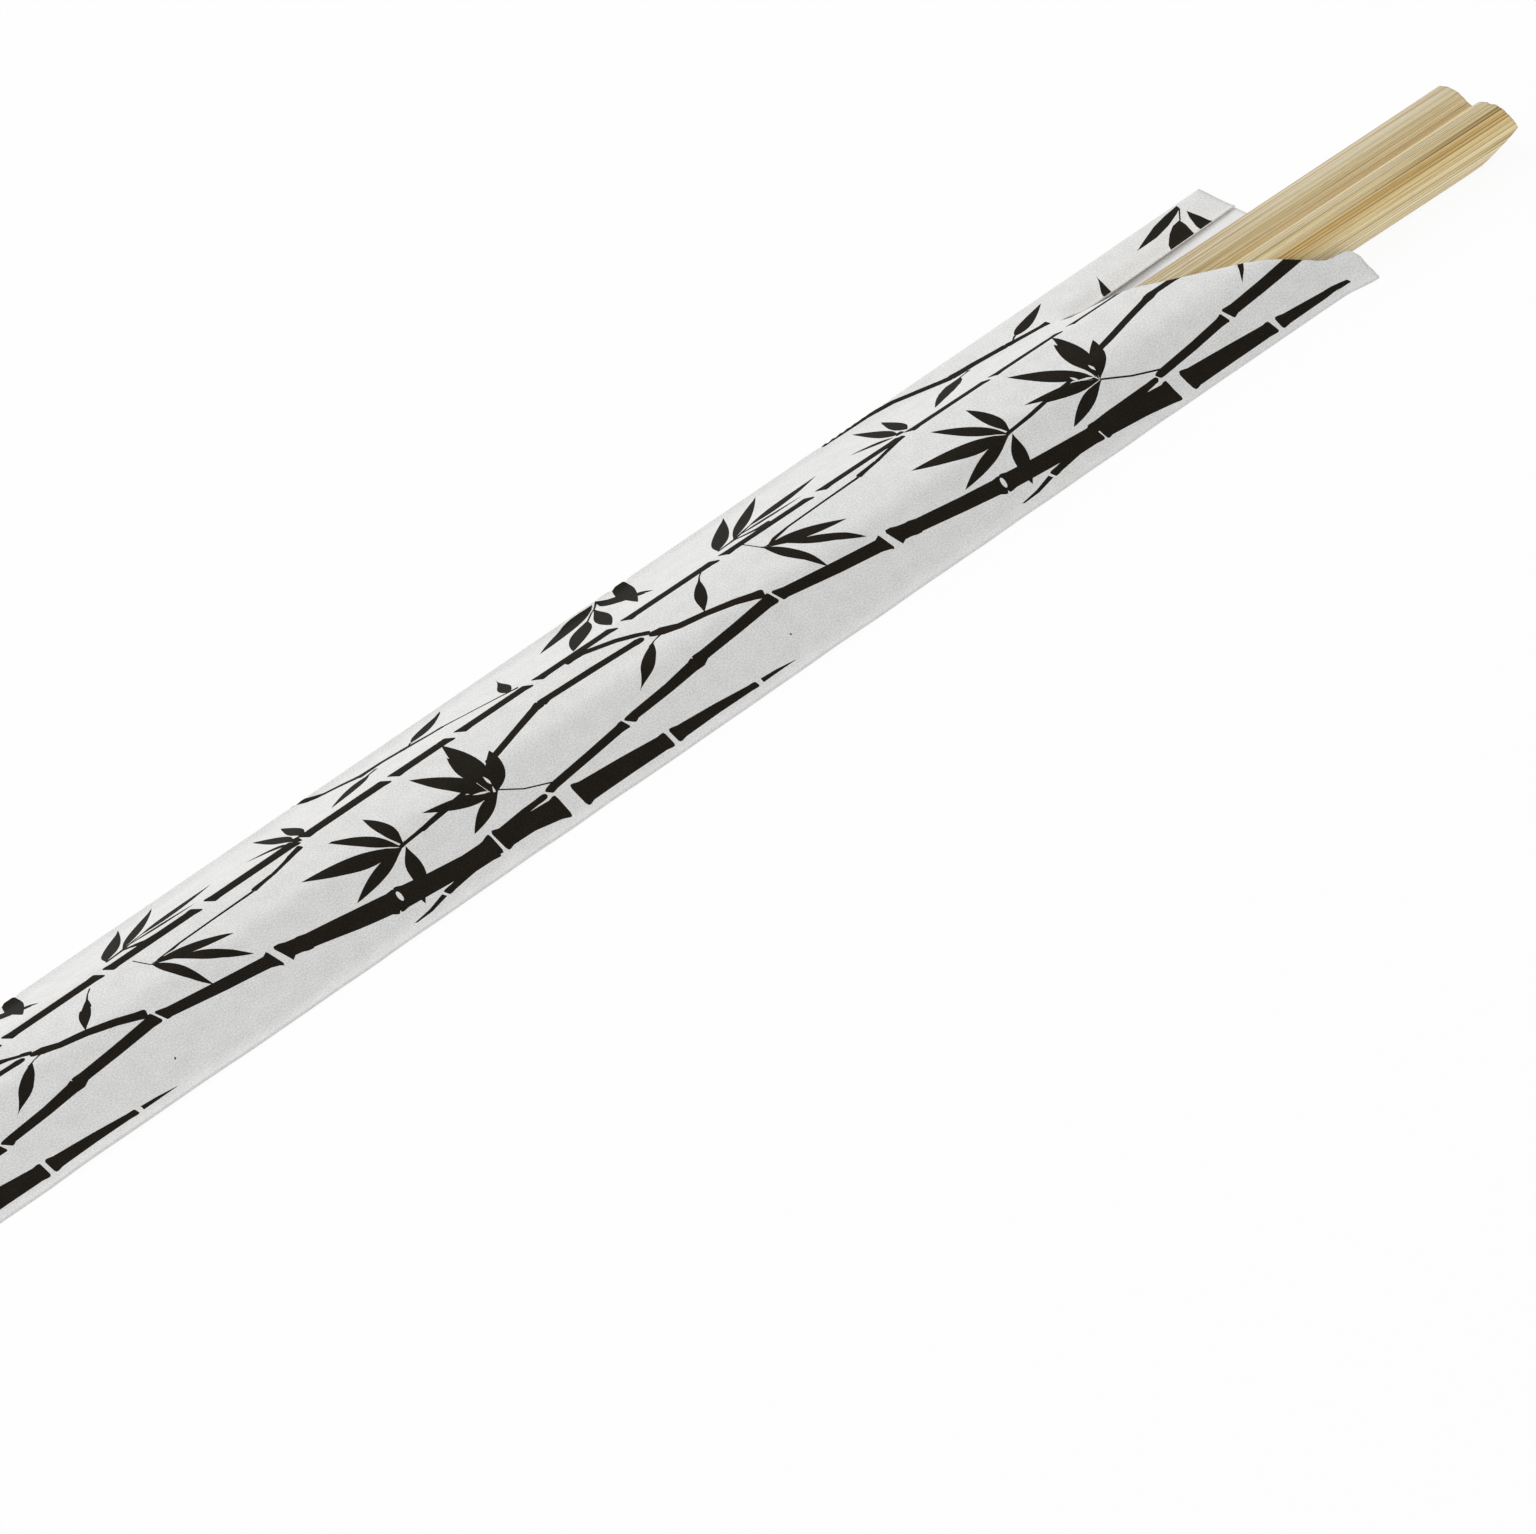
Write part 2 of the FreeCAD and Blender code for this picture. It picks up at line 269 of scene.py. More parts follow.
def stalk(places, widths, slant=0.0):
    """A bar along places with a width at each. slant leans its two ends, in millimetres."""
    places = np.array(places, float)
    widths = STALK_INK_SPREAD * np.array(widths, float)
    run = running_length(places)
    length = run[-1]
    if length > FLARED_FROM_LENGTH and widths.min() > FLARED_FROM_WIDTH:
        from_end = np.array(list(STALK_FLARE))
        clear = 1.1 * from_end.max()
        middle = run[(run > clear) & (run < length - clear)]
        stops = np.sort(np.concatenate([from_end, length - from_end, middle]))
        scale = np.array([STALK_FLARE.get(round(float(min(d, length - d)), 6), 1.0) for d in stops])
        widths = np.interp(stops, run, widths) * scale
        places = np.stack([np.interp(stops, run, values) for values in places.T], 1)
    along = np.gradient(places, axis=0)
    along /= np.linalg.norm(along, axis=1)[:, None]
    side = np.stack([-along[:, 1], along[:, 0]], 1)
    lean = np.full(len(places), slant)
    lean[len(places) // 3:len(places) - len(places) // 3] = 0.0
    upper = places - side * widths[:, None] / 2.0 - along * lean[:, None]
    lower = places + side * widths[:, None] / 2.0 + along * lean[:, None]
    return np.concatenate([upper, lower[::-1]])


def blob(centre, size, turn=0.0):
    """An oval, such as the mark at a joint of a stalk."""
    angles = np.linspace(0.0, 2.0 * math.pi, 12, endpoint=False)
    c, s = math.cos(turn), math.sin(turn)
    x, y = 0.5 * size[0] * np.cos(angles), 0.5 * size[1] * np.sin(angles)
    return np.stack([centre[0] + c * x - s * y, centre[1] + s * x + c * y], 1)


# By the mouth, the part of the print that doesn't come again
MOUTH_PRINT = [
    stalk([(-51.5, 0.1), (-45.5, 0.3), (-42.5, 0.8), (-39.5, 2.1), (-36.8, 3.35)],
          [0.5, 0.6, 0.7, 0.75, 0.8]),
    stalk([(-36.9, 3.3), (-34.0, 3.6), (-30.2, 4.3)], [0.95, 0.8, 0.7]),
    stalk([(-30.2, 4.3), (-27.5, 4.85), (-25.9, 5.15), (-25.3, 5.2)], [0.7, 0.6, 0.55, 0.8]),
    stalk([(-29.2, 4.15), (-28.4, 3.6)], [0.15, 0.25]),
    leaf((-28.5, 3.7), (-22.7, 1.2), 1.5, 0.15, 0.3),
    stalk([(-35.1, 4.2), (-36.9, 5.0)], [0.45, 0.3]),
    leaf((-36.6, 4.8), (-43.9, 9.9), 2.0, 0.15, 0.36),
    leaf((-16.35, 2.3), (-18.9, 7.6), 0.95, 0.0, 0.66),
    freehand([(-3.3, 0.35), (-3.4, 0.9), (-4.3, 1.4), (-6.2, 2.2), (-8.4, 2.8), (-11.2, 2.9),
              (-9.3, 2.0), (-7.2, 1.1), (-5.2, 0.6)]),
    stalk([(-3.5, 0.95), (-4.2, 1.7), (-4.9, 2.5)], [0.16, 0.12, 0.14]),
    freehand([(-4.9, 2.4), (-5.1, 3.6), (-5.6, 5.0), (-6.4, 6.6), (-7.2, 8.2), (-10.4, 8.2),
              (-9.6, 6.2), (-8.6, 4.7), (-7.2, 3.4), (-6.0, 2.6)]),
    freehand([(-3.35, 1.8), (-3.2, 3.6), (-3.2, 7.0), (-5.4, 7.0), (-4.7, 4.6), (-4.0, 2.9)]),
]

# Groups that come again one repeat further along
FAN_PRINT = [
    leaf((-49.5, 10.6), (-48.6, 1.5), 1.5, 0.1, 0.33),
    leaf((-48.3, 10.8), (-46.2, 3.4), 1.4, 0.0, 0.34),
    leaf((-49.9, 10.7), (-53.3, 7.3), 0.9, 0.25, 0.4),
    stalk([(-49.3, 11.0), (-48.9, 10.0)], [0.9, 0.5]),
]
CLUSTER_PRINT = [
    leaf((-43.2, 20.2), (-47.9, 13.8), 1.5, -0.1, 0.45),
    leaf((-43.0, 20.2), (-43.4, 14.1), 1.5, 0.1, 0.42),
    leaf((-43.1, 20.2), (-53.4, 16.9), 1.9, -0.15, 0.45),
    leaf((-43.1, 20.1), (-50.9, 22.1), 1.3, 0.1, 0.45),
    leaf((-42.9, 20.2), (-44.7, 25.4), 1.7, 0.1, 0.45),
    stalk([(-43.5, 20.0), (-40.0, 19.8), (-37.0, 19.45), (-33.0, 19.1)], [0.3, 0.35, 0.4, 0.4]),
    stalk([(-46.9, 26.4), (-44.8, 26.25), (-42.6, 25.8)], [0.12, 0.3, 0.42], 0.1),
    stalk([(-42.3, 25.75), (-38.5, 25.3), (-35.3, 25.2)], [0.55, 0.7, 1.1], 0.1),
    stalk([(-58.2, 22.15), (-52.0, 23.1), (-47.9, 23.65), (-47.1, 23.85)], [1.25, 1.35, 1.45, 1.6]),
    stalk([(-47.2, 23.75), (-43.0, 24.2), (-35.35, 24.9)], [1.6, 1.5, 1.45]),
    stalk([(-54.3, 12.9), (-52.0, 12.4), (-49.6, 11.8)], [0.35, 0.4, 0.6]),
    stalk([(-57.0, 13.25), (-56.3, 13.1), (-54.2, 12.85)], [0.5, 0.55, 0.35]),
]

# Below the notch, once
NOTCH_PRINT = [
    leaf((-31.7, 20.9), (-37.3, 13.6), 1.9, -0.15, 0.45),
    leaf((-31.7, 20.9), (-30.0, 12.4), 1.9, 0.1, 0.45),
    leaf((-31.8, 20.6), (-30.9, 13.5), 1.7, 0.0, 0.5),
    leaf((-31.6, 20.9), (-28.2, 16.3), 1.7, 0.08, 0.45),
    leaf((-31.6, 20.9), (-39.6, 18.3), 1.3, -0.1, 0.42),
    leaf((-31.6, 20.9), (-37.8, 19.7), 1.0, 0.1, 0.42),
    leaf((-31.3, 20.9), (-37.2, 23.2), 1.35, 0.1, 0.48),
    stalk([(-31.6, 20.9), (-28.6, 22.4), (-25.4, 23.6)], [0.17, 0.17, 0.17]),
    stalk([(-29.6, 18.0), (-27.2, 17.5), (-23.5, 16.6), (-20.4, 15.9), (-19.9, 15.75)],
          [0.6, 0.7, 0.7, 0.8, 0.95]),
    stalk([(-20.0, 15.8), (-19.4, 15.65), (-17.0, 15.7), (-12.0, 16.1)], [0.95, 0.72, 0.72, 0.8]),
    stalk([(-36.0, 24.4), (-33.0, 24.3), (-28.5, 24.2), (-26.9, 24.1)], [0.9, 0.9, 0.7, 0.45]),
    blob((-26.9, 24.1), (0.9, 0.62)),
    stalk([(-26.4, 23.95), (-25.6, 23.85), (-21.0, 23.55), (-16.7, 23.15), (-16.35, 23.1)],
          [0.5, 0.75, 0.8, 0.85, 1.05], 0.12),
    stalk([(-15.95, 23.0), (-15.4, 22.95), (-11.0, 22.75), (-4.0, 22.3)], [1.2, 1.0, 1.05, 1.2], 0.25),
    stalk([(-35.2, 24.95), (-30.0, 25.4), (-25.8, 26.0)], [1.6, 1.8, 2.0], 0.2),
    stalk([(-24.2, 25.95), (-18.0, 26.25), (-12.6, 26.6)], [1.95, 1.5, 1.15], 0.15),
    stalk([(-12.0, 26.65), (-7.0, 26.95), (-2.8, 27.2)], [1.15, 0.75, 0.35], 0.05),
    freehand([(-12.5, 21.4), (-11.7, 20.1), (-11.0, 18.7), (-10.3, 19.0), (-11.25, 20.35)]),
]

# The middle of the sleeve, which comes again
MIDDLE_PRINT = [
    stalk([(-121.5, -0.6), (-119.0, 0.95), (-117.0, 2.3), (-115.2, 3.9)], [0.6, 0.7, 0.8, 0.9]),
    stalk([(-115.6, 3.95), (-112.7, 4.1), (-109.9, 4.9)], [1.1, 0.85, 0.8]),
    stalk([(-110.0, 4.85), (-107.5, 5.75), (-105.9, 6.1)], [0.8, 0.6, 0.6]),
    stalk([(-105.9, 6.1), (-102.5, 7.9), (-98.9, 9.9)], [0.4, 0.35, 0.5]),
    stalk([(-109.6, 4.8), (-108.8, 4.1)], [0.15, 0.25]),
    leaf((-108.9, 4.3), (-102.6, 0.7), 1.75, 0.15, 0.34),
    stalk([(-113.9, 5.1), (-115.4, 5.5)], [0.45, 0.3]),
    leaf((-115.0, 5.4), (-122.0, 8.4), 1.7, 0.1, 0.36),
    leaf((-96.5, 2.3), (-99.9, 9.8), 1.35, 0.1, 0.66),
    leaf((-82.3, 0.4), (-91.8, 3.85), 2.4, 0.0, 0.42),
    leaf((-85.2, 3.4), (-92.0, 10.3), 2.3, 0.1, 0.42),
    stalk([(-81.8, 0.4), (-83.6, 1.9), (-85.6, 3.9)], [0.22, 0.2, 0.25]),
    leaf((-82.4, 0.4), (-86.8, 10.0), 1.65, 0.1, 0.58),
    leaf((-77.9, -1.5), (-82.1, 8.3), 2.0, 0.0, 0.35),
    leaf((-81.8, 0.2), (-80.3, 7.2), 2.1, 0.0, 0.38),
    leaf((-80.4, 4.6), (-79.8, 7.9), 0.7),
    leaf((-72.3, 9.3), (-65.2, 0.7), 1.9, 0.0, 0.36),
    leaf((-70.0, 8.9), (-61.0, 0.8), 1.6, 0.0, 0.4),
    leaf((-67.6, 8.0), (-57.2, 6.5), 1.7, 0.15, 0.4),
    leaf((-69.6, 8.7), (-61.2, 9.6), 0.7, 0.0, 0.4),
    stalk([(-72.4, 9.4), (-70.2, 9.1), (-67.0, 7.9)], [0.3, 0.5, 0.25]),
    stalk([(-70.4, 9.0), (-68.2, 10.4), (-66.5, 10.8)], [0.3, 0.7, 0.9]),
    leaf((-111.2, 20.1), (-115.5, 12.8), 2.0, -0.15, 0.45),
    leaf((-111.2, 20.1), (-109.9, 11.2), 2.3, 0.1, 0.42),
    leaf((-111.9, 18.6), (-111.0, 13.2), 1.3, 0.0, 0.45),
    leaf((-110.8, 20.1), (-107.8, 15.7), 1.9, 0.2, 0.42),
    leaf((-110.8, 20.0), (-118.1, 17.5), 1.3, -0.1, 0.4),
    leaf((-110.4, 19.9), (-115.6, 22.2), 1.35, 0.1, 0.45),
    stalk([(-110.5, 19.9), (-108.4, 21.3), (-105.6, 22.4)], [0.14, 0.14, 0.14]),
    stalk([(-119.4, 18.9), (-116.0, 18.6), (-112.2, 18.1)], [0.35, 0.4, 0.45]),
    stalk([(-109.2, 17.0), (-107.6, 16.6), (-104.0, 15.5), (-100.6, 14.5), (-99.9, 14.35)],
          [0.6, 0.7, 0.7, 0.8, 0.95]),
    stalk([(-99.9, 14.45), (-99.2, 14.3), (-93.0, 14.6), (-87.5, 14.95)], [0.95, 0.8, 0.8, 0.7]),
    blob((-87.5, 14.97), (1.1, 0.8)),
    stalk([(-94.0, 11.2), (-92.0, 11.7), (-88.8, 13.0), (-87.2, 14.0), (-86.0, 14.9)],
          [1.2, 0.65, 0.65, 0.65, 0.5]),
    stalk([(-86.4, 15.1), (-85.2, 15.6), (-83.6, 16.4), (-80.8, 17.05), (-77.8, 18.0), (-74.9, 19.1)],
          [0.45, 1.1, 0.8, 0.75, 0.85, 0.75]),
    leaf((-80.8, 17.0), (-77.4, 12.5), 1.3, -0.1, 0.5),
    stalk([(-77.9, 13.0), (-77.0, 12.1), (-76.2, 11.6)], [0.25, 0.12, 0.12]),
    leaf((-92.1, 20.0), (-86.9, 16.2), 1.35, 0.15, 0.55),
    stalk([(-87.6, 16.5), (-86.6, 16.1), (-85.6, 15.9)], [0.25, 0.12, 0.2]),
    stalk([(-71.0, 11.8), (-70.6, 13.0), (-70.2, 14.2)], [0.13, 0.13, 0.13]),
    stalk([(-70.1, 14.3), (-68.6, 13.75), (-66.5, 13.45), (-62.0, 13.35), (-57.0, 13.3)],
          [0.15, 0.45, 0.25, 0.25, 0.3]),
    leaf((-70.3, 13.6), (-67.7, 20.6), 1.35, 0.2, 0.42),
    leaf((-68.6, 15.2), (-62.4, 20.3), 1.25, 0.1, 0.42),
    stalk([(-70.0, 14.2), (-68.2, 15.5)], [0.14, 0.14]),
    leaf((-70.2, 13.9), (-62.3, 17.3), 1.5, 0.0, 0.42),
    stalk([(-106.7, 23.0), (-105.9, 22.75), (-101.0, 22.3), (-96.0, 21.8), (-95.5, 21.8)],
          [0.6, 0.75, 0.75, 0.8, 0.85], 0.15),
    stalk([(-95.1, 21.8), (-94.3, 21.6), (-89.5, 21.3), (-85.3, 20.85), (-85.1, 20.8)],
          [0.85, 0.8, 0.9, 1.1, 1.25], 0.25),
    stalk([(-85.2, 20.8), (-84.6, 20.65), (-80.0, 20.35), (-74.4, 19.9)], [1.2, 0.95, 1.0, 1.1], 0.15),
    stalk([(-74.1, 20.0), (-73.0, 20.2), (-67.0, 21.1), (-61.6, 21.8), (-61.1, 21.85)],
          [1.0, 1.0, 1.15, 1.2, 1.7], 0.3),
    stalk([(-60.3, 21.9), (-59.4, 21.9), (-57.5, 22.25)], [1.75, 1.4, 1.25], 0.3),
    stalk([(-120.0, 24.0), (-116.0, 24.1), (-114.5, 24.15)], [1.45, 1.5, 1.9]),
    stalk([(-114.2, 24.15), (-110.5, 24.4), (-106.4, 24.9)], [2.0, 1.7, 2.1], 0.1),
    stalk([(-114.0, 23.5), (-110.0, 23.2), (-107.4, 23.1)], [0.6, 0.6, 0.5]),
    blob((-107.4, 23.1), (0.8, 0.62)),
    stalk([(-104.6, 24.95), (-98.5, 25.15), (-93.1, 25.45)], [2.15, 1.7, 1.3], 0.05),
    stalk([(-92.6, 25.45), (-87.0, 25.65), (-82.0, 25.95)], [1.3, 0.9, 0.5], 0.05),
    stalk([(-81.4, 25.95), (-79.5, 26.0), (-77.2, 26.15)], [0.42, 0.3, 0.04]),
    blob((-75.7, 23.85), (0.22, 0.2)),
]

# Bare paper left open inside the ink
PRINT_HOLES = [
    leaf((-31.25, 19.95), (-31.32, 18.8), 0.3),
    leaf((-31.9, 20.4), (-33.6, 19.7), 0.22),
    leaf((-33.45, 19.9), (-33.75, 18.75), 0.3),
    leaf((-110.6, 19.1), (-110.7, 18.0), 0.3),
    leaf((-111.2, 19.6), (-112.9, 18.9), 0.22),
    blob((-47.1, 23.65), (0.5, 1.15), 0.1),
    blob((-125.95, 23.0), (0.5, 1.15), 0.1),
]

REPEAT = -78.9

# The long thin stalk beside the far ridge: the ends of its segments, and v at places along it
RIDGE_STALK_ENDS = [
    (-196.0, -190.0), (-189.2, -179.5), (-178.6, -166.0), (-164.9, -153.1), (-152.2, -140.8),
    (-139.4, -128.3), (-127.4, -116.7), (-115.9, -108.5), (-107.4, -98.4), (-97.4, -87.4), (-85.9, -74.2),
    (-73.2, -61.8), (-60.5, -49.8), (-48.8, -38.5), (-37.8, -28.8), (-27.5, -20.0),
]
RIDGE_STALK_X = [-196.0, -164.0, -119.0, -88.0, -58.0, -45.0, -33.0, -20.0]
RIDGE_STALK_V = [10.6, 10.7, 10.9, 11.05, 11.5, 11.75, 12.05, 12.45]
RIDGE_STALK_WIDTH = [0.85, 0.85, 0.9, 1.0, 1.0, 0.9, 0.85, 0.7]
RIDGE_STALK_SLANT = 0.25


def ridge_stalk():
    """The segments of the long thin stalk, each with slanted ends."""
    segments = []
    for start, end in RIDGE_STALK_ENDS:
        xs = np.linspace(start, end, 8)
        places = np.stack([xs, np.interp(xs, RIDGE_STALK_X, RIDGE_STALK_V)], 1)
        segments.append(stalk(places, np.interp(xs, RIDGE_STALK_X, RIDGE_STALK_WIDTH), RIDGE_STALK_SLANT))
    return segments


def settle(x, v):
    """v on the softly bent front for a place drawn on the front with sharp bends."""
    nearest = np.clip(np.searchsorted(STATIONS, x), 0, len(STATIONS) - 1)
    ts, points, width = SECTIONS[nearest]
    corners = front_corners(max(x, TIPS_X), True)
    run = math.pi / 2.0 * FOLD + running_length(corners)
    y, z = np.interp(v, run, corners[:, 0]), np.interp(v, run, corners[:, 1])
    seen = SEEN_Y * points[ON_FRONT, 0] + SEEN_Z * points[ON_FRONT, 1]
    t = np.interp(-(SEEN_Y * y + SEEN_Z * z), -np.minimum.accumulate(seen), ts[ON_FRONT])
    beyond = (v < run[0]) | (v > run[-1])
    return v if beyond else t * width / FRONT


# The whole print lies this much further from the far fold than it was drawn
PRINT_DROP = 0.1
LONGEST_SIDE = 1.2


def to_sheet(outline, shift=0.0):
    """An outline in x and v, moved along by shift, in the sheet's own x and t, with no long side."""
    dense = []
    for index, place in enumerate(outline):
        ahead = outline[(index + 1) % len(outline)]
        count = max(1, math.ceil(np.linalg.norm(ahead - place) / LONGEST_SIDE))
        for step in range(count):
            dense.append(place + (ahead - place) * step / count)
    dense = np.array(dense)
    x = dense[:, 0]
    v = np.array([settle(*place) for place in dense + (0.0, PRINT_DROP)])
    if shift:
        # The repeat sits a little higher on the near slope, and further back at its foot
        v = v - 0.6 * smooth(v, 13.0, 17.0) * (1.0 - smooth(v, 22.0, 24.5))
        x = x - 0.9 * smooth(v, 22.5, 25.0)
    here, there = front_width(x), front_width(x + shift)
    from_far = v / there
    from_near = 1.0 - (here - v) / there
    return np.stack([x + shift, FRONT * np.where(v < here / 2.0, from_far, from_near)], 1)


def notch_outline():
    """The notch's cut edge on the unrolled sheet, from the far side of the mouth to the near side."""
    far_mouth = np.array([0.0, HALF - STRIP_WIDTH_MOUTH])
    far_end = np.array([-NOTCH_DEPTH, HALF - STRIP_WIDTH_END])
    slot_end = far_end - (0.0, SLOT_WIDTH)
    shoulder = np.array([-SHOULDER_DEPTH, NEAR_TAB - HALF])
    chord = shoulder - slot_end
    sideways = np.array([chord[1], -chord[0]]) / np.linalg.norm(chord)
    share = np.linspace(0.0, 1.0, 56)[:, None]
    arc = slot_end + share * chord + 4.0 * NOTCH_BULGE * share * (1.0 - share) * sideways
    strip = far_mouth + np.linspace(0.0, 1.0, 50)[:, None] * (far_end - far_mouth)
    slot = far_end + np.linspace(0.0, 1.0, 5)[1:-1, None] * (slot_end - far_end)
    inner = np.array([-TAB_ROUNDING, shoulder[1]])
    tab = shoulder + np.linspace(0.0, 1.0, 7)[1:, None] * (inner - shoulder)
    turn = np.radians(np.linspace(15.0, 90.0, 6))
    corner = inner + TAB_ROUNDING * np.stack([np.sin(turn), np.cos(turn) - 1.0], 1)
    plan = np.concatenate([strip, slot, arc, tab, corner])
    return np.array([(x, t_at(x, y)) for x, y in plan])


LATTICE_STEP = 0.8


def lattice():
    """Places over the whole sheet, in rows that follow its bends."""
    rows = []
    table = np.array([ts for ts, _, _ in SECTIONS])
    longest = np.diff(table, axis=1).max(axis=0)
    counts = np.maximum(1, np.ceil(longest / LATTICE_STEP)).astype(int)
    for x, ts in zip(STATIONS, table):
        across = [ts[:1]]
        for index, count in enumerate(counts):
            across.append(ts[index] + (ts[index + 1] - ts[index]) * np.arange(1, count + 1) / count)
        across = np.concatenate(across)
        rows.append(np.stack([np.full(len(across), x), across], 1))
    return np.concatenate(rows)


def inside(points, outline):
    """Which points lie inside a closed outline."""
    result = np.zeros(len(points), bool)
    px, py = points[:, 0], points[:, 1]
    for (x1, y1), (x2, y2) in zip(outline, np.roll(outline, -1, axis=0)):
        crosses = (y1 > py) != (y2 > py)
        with np.errstate(divide="ignore", invalid="ignore"):
            at = x1 + (py - y1) * (x2 - x1) / (y2 - y1)
        result ^= crosses & (px < at)
    return result


def counter_clockwise(outline):
    """The outline, turned round if it runs the other way."""
    ahead = np.roll(outline, -1, axis=0)
    area = (outline[:, 0] * ahead[:, 1] - ahead[:, 0] * outline[:, 1]).sum()
    return outline if area > 0.0 else outline[::-1]


def sheet_triangles():
    """The unrolled sheet as triangles: places, triangles and which of them are inked."""
    notch_edge = notch_outline()
    border = np.concatenate([
        [(-SLEEVE_LENGTH, LAP_EDGE_UNDER), (0.0, LAP_EDGE_UNDER)],
        notch_edge,
        [(0.0, LAP_EDGE_OVER), (-SLEEVE_LENGTH, LAP_EDGE_OVER)],
    ])
    once = MOUTH_PRINT + FAN_PRINT + CLUSTER_PRINT + NOTCH_PRINT + MIDDLE_PRINT + ridge_stalk()
    again = FAN_PRINT + CLUSTER_PRINT + MIDDLE_PRINT
    inks = [to_sheet(o) for o in once] + [to_sheet(o, REPEAT) for o in again]
    holes = [to_sheet(o) for o in PRINT_HOLES]
    places = lattice()
    places = places[~inside(places, notch_edge)]
    outlines = [counter_clockwise(o) for o in [border] + inks + holes]
    coords = [Vector(p) for p in places]
    faces = []
    for outline in outlines:
        faces.append(list(range(len(coords), len(coords) + len(outline))))
        coords.extend(Vector(p) for p in outline)
    made = delaunay_2d_cdt(coords, [], faces, 0, 1e-4, True)
    points = np.array([tuple(p) for p in made[0]])
    # Each triangle names the outlines that it lies in: 0 is the border, then the inks, then the holes
    triangles, inked = [], []
    for triangle, origins in zip(made[2], made[5]):
        if 0 not in origins:
            continue
        triangles.append(triangle)
        inked.append(0 < max(origins) <= len(inks))
    used, triangles = np.unique(np.array(triangles), return_inverse=True)
    return points[used], triangles.reshape(-1, 3), np.array(inked)


# Paper that has been handled, in millimetres: waves where the sheet lies loose, the near tab's flare
# and puff, the shoulder of the notch pressed in, creases behind the tab, and the strip's free edge
SLOW_WAVE, FINE_WAVE = 0.05, 0.025
TAB_FLARE, TAB_FLARE_BACK = 0.7, 0.3
TAB_PUFF, TAB_PUFF_UP, TAB_PUFF_BACK = 0.1, 0.08, 0.22
SHOULDER_PRESS = 0.35
CREASE_HEIGHT = 0.14
STRIP_DROOP, STRIP_PRESS = 0.62 * STRIP_LIFT, 0.08


def paper_play(x, t):
    """(dx, dy, dz) that takes the sheet from the drawn form to paper that has been handled."""
    slow = Waves(3, 22.0, 2.0)
    fine = Waves(5, 6.0, 1.4)
    # The front is taut over the sticks, so only its last millimetres and the back are wavy
    loose = smooth(t, FRONT - 3.0, FRONT - 0.6)
    dz = loose * (SLOW_WAVE * slow(x, t) + FINE_WAVE * fine(x, t))

    end = smooth(x, -4.5, 0.0)
    corner = end * smooth(t, FRONT - 4.5, FRONT - 0.5) * smooth(-t, -FRONT - 3.0, -FRONT - 0.5)
    puffed = end * smooth(t, FRONT - 3.6, FRONT - 2.0) * smooth(-t, -FRONT, 1.4 - FRONT)
    dy = -TAB_FLARE * corner - TAB_PUFF * puffed
    dx = -TAB_PUFF_BACK * puffed * smooth(x, -2.0, 0.0)
    dx = dx - TAB_FLARE_BACK * corner * smooth(t, FRONT - 1.2, FRONT)
    dz = dz + TAB_PUFF_UP * puffed

    shoulder = smooth(t, FRONT - 6.5, FRONT - 4.5) * smooth(-t, 2.5 - FRONT, 4.0 - FRONT)
    dz = dz - SHOULDER_PRESS * smooth(x, -3.0, 0.0) * shoulder
    creased = smooth(x, -9.0, -2.0)
    creased = creased * smooth(t, FRONT - 6.0, FRONT - 3.0) * smooth(-t, 0.3 - FRONT, 1.2 - FRONT)
    dz = dz + CREASE_HEIGHT * creased * (np.abs(Waves(11, 3.2)(x, t)) - 0.6)

    share = np.clip(-x / NOTCH_DEPTH, 0.0, 1.0)
    edge = np.interp(x, STRIP_X, STRIP_T)
    strip = (t > 0.3) & (t < edge + 0.3) & (x > -NOTCH_DEPTH)
    curl = smooth(t, edge - 2.6, edge + 0.4) * smooth(x, -NOTCH_DEPTH, 4.0 - NOTCH_DEPTH)
    lowered = STRIP_DROOP * share * curl + STRIP_PRESS * smooth(t, 0.8, 3.0) * (1.0 - share)
    return dx, dy, dz - np.where(strip, lowered, 0.0)


def new_mesh(name, vertices, faces, materials, picks=None, uv=None):
    """A smooth object. picks has the material of each face, and uv the place of each vertex."""
    mesh = bpy.data.meshes.new(name)
    mesh.from_pydata([tuple(v) for v in vertices], [], [tuple(int(i) for i in f) for f in faces])
    for material in materials:
        mesh.materials.append(material)
    if picks is not None:
        mesh.polygons.foreach_set("material_index", np.asarray(picks, np.int32))
    mesh.polygons.foreach_set("use_smooth", np.ones(len(faces), bool))
    if uv is not None:
        layer = mesh.uv_layers.new(name="sheet")
        loops = np.empty(len(mesh.loops), np.int32)
        mesh.loops.foreach_get("vertex_index", loops)
        layer.data.foreach_set("uv", np.asarray(uv, np.float32)[loops].ravel())
    mesh.update()
    obj = bpy.data.objects.new(name, mesh)
    bpy.context.scene.collection.objects.link(obj)
    return obj


